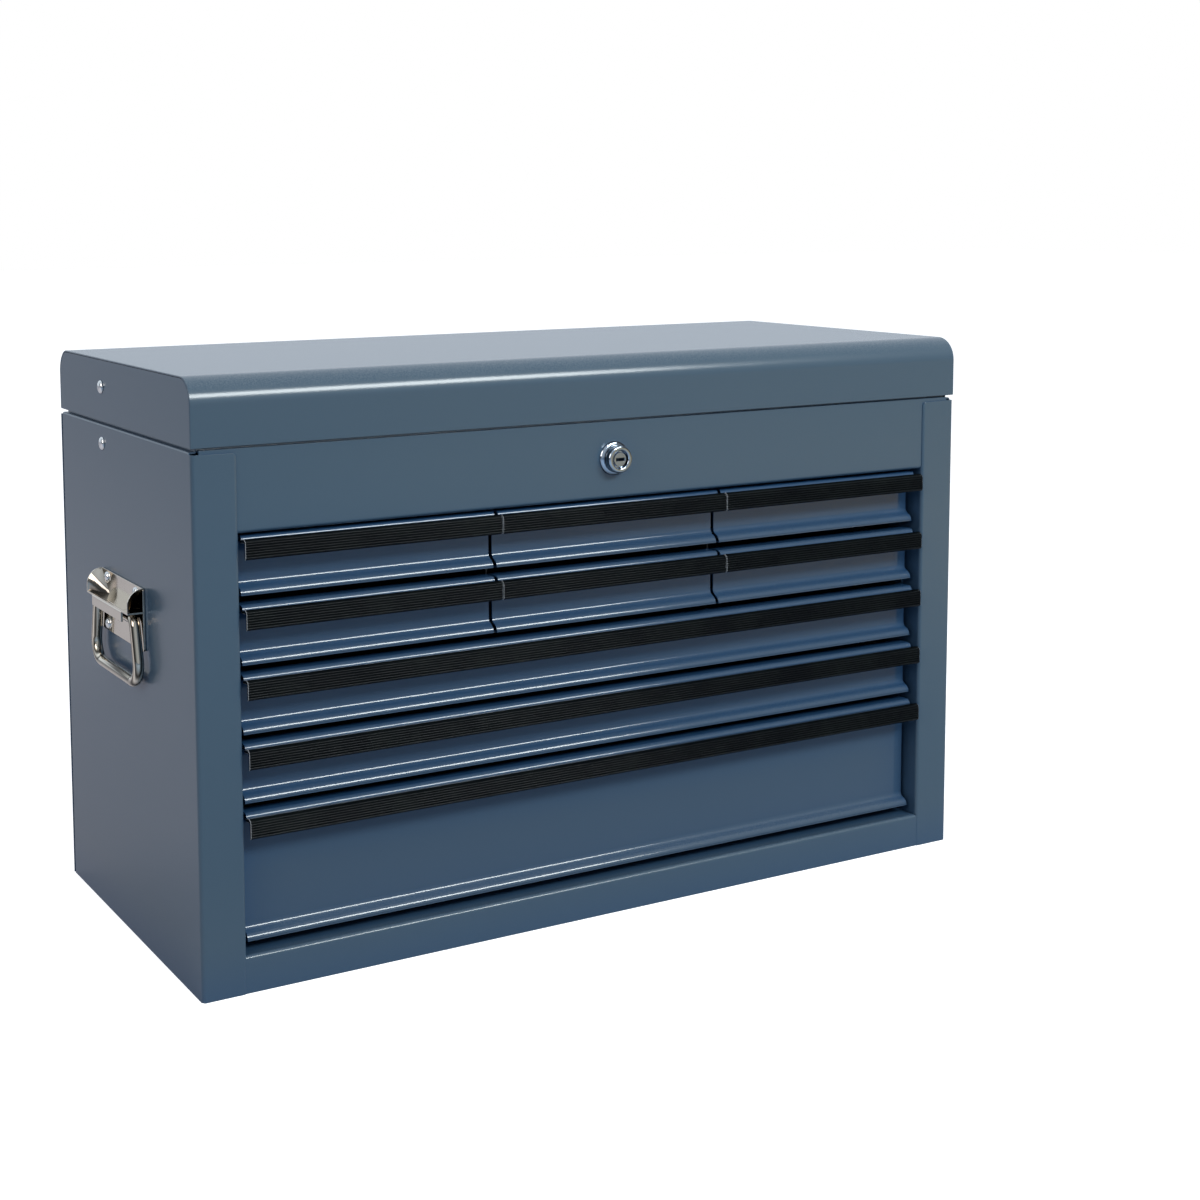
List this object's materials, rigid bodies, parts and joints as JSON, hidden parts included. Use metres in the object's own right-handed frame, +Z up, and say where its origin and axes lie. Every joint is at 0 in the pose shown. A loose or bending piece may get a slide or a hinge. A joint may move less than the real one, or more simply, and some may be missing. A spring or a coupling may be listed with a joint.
{
  "type": "machinist tool chest",
  "caption": "Bench-top steel tool chest with a hinged lid over a till, ribbed-pull drawers on telescopic slides, a key lock and drop handles on its sides.",
  "frame": {"origin": "middle of the underside of the case", "axes": "+X to the right as seen from the drawer side, +Y to the back, +Z up"},
  "size_m": [0.6872, 0.308, 0.424],
  "materials": {
    "painted_case": "satin baked enamel, fine orange peel",
    "painted_front": "satin baked enamel, fine orange peel",
    "black_pull": "ribbed semi-gloss black",
    "zinc_steel": "zinc plated",
    "chrome_plate": "bright plated"
  },
  "bodies": {
    "case": {"left_side_panel": "painted_case", "right_side_panel": "painted_case", "back_panel": "painted_case", "bottom_panel": "painted_case", "top_rail": "painted_case", "bottom_rail": "painted_case", "till_floor": "painted_case", "drawer_shelf": "painted_case", "left_divider": "zinc_steel", "right_divider": "zinc_steel", "left_slide_rack": "zinc_steel", "right_slide_rack": "zinc_steel", "lock_body": "chrome_plate", "hinge_case_leaf": "zinc_steel", "hinge_pin": "zinc_steel", "left_case_stay_rivet": "zinc_steel", "right_case_stay_rivet": "zinc_steel", "left_handle_bracket": "chrome_plate", "right_handle_bracket": "chrome_plate"},
    "lid": {"lid_top": "painted_case", "left_lid_cap": "painted_case", "right_lid_cap": "painted_case", "hinge_lid_leaf": "zinc_steel", "lid_strike": "zinc_steel", "left_lid_stay_rivet": "zinc_steel", "right_lid_stay_rivet": "zinc_steel"},
    "top_left_drawer": {"top_left_drawer": "painted_front", "top_left_pull": "black_pull"},
    "top_middle_drawer": {"top_middle_drawer": "painted_front", "top_middle_pull": "black_pull"},
    "top_right_drawer": {"top_right_drawer": "painted_front", "top_right_pull": "black_pull"},
    "second_left_drawer": {"second_left_drawer": "painted_front", "second_left_pull": "black_pull"},
    "second_middle_drawer": {"second_middle_drawer": "painted_front", "second_middle_pull": "black_pull"},
    "second_right_drawer": {"second_right_drawer": "painted_front", "second_right_pull": "black_pull"},
    "third_drawer": {"third_drawer": "painted_front", "third_pull": "black_pull"},
    "third_slides": {"third_left_slide": "zinc_steel", "third_right_slide": "zinc_steel"},
    "fourth_drawer": {"fourth_drawer": "painted_front", "fourth_pull": "black_pull"},
    "fourth_slides": {"fourth_left_slide": "zinc_steel", "fourth_right_slide": "zinc_steel"},
    "bottom_drawer": {"bottom_drawer": "painted_front", "bottom_pull": "black_pull"},
    "bottom_slides": {"bottom_left_slide": "zinc_steel", "bottom_right_slide": "zinc_steel"},
    "lock_plug": {"lock_plug": "chrome_plate"},
    "left_bail": {"left_handle_bail": "chrome_plate"},
    "right_bail": {"right_handle_bail": "chrome_plate"},
    "left_lower_stay": {"left_lower_stay": "zinc_steel"},
    "left_upper_stay": {"left_upper_stay": "zinc_steel"},
    "right_lower_stay": {"right_lower_stay": "zinc_steel"},
    "right_upper_stay": {"right_upper_stay": "zinc_steel"},
    "left_lock_rod": {"left_lock_rod": "zinc_steel"},
    "middle_lock_rod": {"middle_lock_rod": "zinc_steel"},
    "right_lock_rod": {"right_lock_rod": "zinc_steel"}
  },
  "joints": [
    {"name": "lid_hinge", "type": "hinge", "parent": "case", "child": "lid", "pos_m": [0, 0.1504, 0.3765], "axis": [-1, 0, 0], "range_deg": [0, 97]},
    {"name": "top_left_drawer_slide", "type": "slide", "parent": "case", "child": "top_left_drawer", "axis": [0, -1, 0], "range_m": [0, 0.18]},
    {"name": "top_middle_drawer_slide", "type": "slide", "parent": "case", "child": "top_middle_drawer", "axis": [0, -1, 0], "range_m": [0, 0.18]},
    {"name": "top_right_drawer_slide", "type": "slide", "parent": "case", "child": "top_right_drawer", "axis": [0, -1, 0], "range_m": [0, 0.18]},
    {"name": "second_left_drawer_slide", "type": "slide", "parent": "case", "child": "second_left_drawer", "axis": [0, -1, 0], "range_m": [0, 0.18]},
    {"name": "second_middle_drawer_slide", "type": "slide", "parent": "case", "child": "second_middle_drawer", "axis": [0, -1, 0], "range_m": [0, 0.18]},
    {"name": "second_right_drawer_slide", "type": "slide", "parent": "case", "child": "second_right_drawer", "axis": [0, -1, 0], "range_m": [0, 0.18]},
    {"name": "third_drawer_slide", "type": "slide", "parent": "case", "child": "third_drawer", "axis": [0, -1, 0], "range_m": [0, 0.225]},
    {"name": "third_slides_slide", "type": "slide", "parent": "case", "child": "third_slides", "axis": [0, -1, 0], "range_m": [0, 0.1125]},
    {"name": "fourth_drawer_slide", "type": "slide", "parent": "case", "child": "fourth_drawer", "axis": [0, -1, 0], "range_m": [0, 0.225]},
    {"name": "fourth_slides_slide", "type": "slide", "parent": "case", "child": "fourth_slides", "axis": [0, -1, 0], "range_m": [0, 0.1125]},
    {"name": "bottom_drawer_slide", "type": "slide", "parent": "case", "child": "bottom_drawer", "axis": [0, -1, 0], "range_m": [0, 0.225]},
    {"name": "bottom_slides_slide", "type": "slide", "parent": "case", "child": "bottom_slides", "axis": [0, -1, 0], "range_m": [0, 0.1125]},
    {"name": "lock_turn", "type": "hinge", "parent": "case", "child": "lock_plug", "pos_m": [0, -0.14, 0.34775], "axis": [0, 1, 0], "range_deg": [0, 90]},
    {"name": "left_bail_swing", "type": "hinge", "parent": "case", "child": "left_bail", "pos_m": [-0.3363, 0, 0.2445], "axis": [0, 1, 0], "range_deg": [0, 90]},
    {"name": "right_bail_swing", "type": "hinge", "parent": "case", "child": "right_bail", "pos_m": [0.3363, 0, 0.2445], "axis": [0, -1, 0], "range_deg": [0, 90]},
    {"name": "left_lower_stay_pivot", "type": "hinge", "parent": "case", "child": "left_lower_stay", "pos_m": [-0.32215, 0.042, 0.3606], "axis": [-1, 0, 0], "range_deg": [0, 123.7]},
    {"name": "left_upper_stay_pivot", "type": "hinge", "parent": "lid", "child": "left_upper_stay", "pos_m": [-0.32035, 0.042, 0.4027], "axis": [1, 0, 0], "range_deg": [0, 119.05]},
    {"name": "right_lower_stay_pivot", "type": "hinge", "parent": "case", "child": "right_lower_stay", "pos_m": [0.32215, 0.042, 0.3606], "axis": [-1, 0, 0], "range_deg": [0, 123.7]},
    {"name": "right_upper_stay_pivot", "type": "hinge", "parent": "lid", "child": "right_upper_stay", "pos_m": [0.32035, 0.042, 0.4027], "axis": [1, 0, 0], "range_deg": [0, 119.05]},
    {"name": "left_lock_rod_slide", "type": "slide", "parent": "case", "child": "left_lock_rod", "axis": [0, 0, 1], "range_m": [-0.006, 0], "stiffness_N_per_m": 300, "springref_m": 0.01},
    {"name": "middle_lock_rod_slide", "type": "slide", "parent": "case", "child": "middle_lock_rod", "axis": [0, 0, 1], "range_m": [-0.006, 0], "stiffness_N_per_m": 300, "springref_m": 0.01},
    {"name": "right_lock_rod_slide", "type": "slide", "parent": "case", "child": "right_lock_rod", "axis": [0, 0, 1], "range_m": [-0.006, 0], "stiffness_N_per_m": 300, "springref_m": 0.01}
  ],
  "couplings": [
    {"joint": "third_slides_slide", "follows": "third_drawer_slide", "ratio": 0.5},
    {"joint": "fourth_slides_slide", "follows": "fourth_drawer_slide", "ratio": 0.5},
    {"joint": "bottom_slides_slide", "follows": "bottom_drawer_slide", "ratio": 0.5},
    {"joint": "left_lower_stay_pivot", "follows": "lid_hinge", "ratio": 1.2747},
    {"joint": "left_upper_stay_pivot", "follows": "lid_hinge", "ratio": 1.2268},
    {"joint": "right_lower_stay_pivot", "follows": "lid_hinge", "ratio": 1.2747},
    {"joint": "right_upper_stay_pivot", "follows": "lid_hinge", "ratio": 1.2268},
    {"joint": "left_lock_rod_slide", "follows": "middle_lock_rod_slide", "ratio": 1},
    {"joint": "right_lock_rod_slide", "follows": "middle_lock_rod_slide", "ratio": 1}
  ]
}
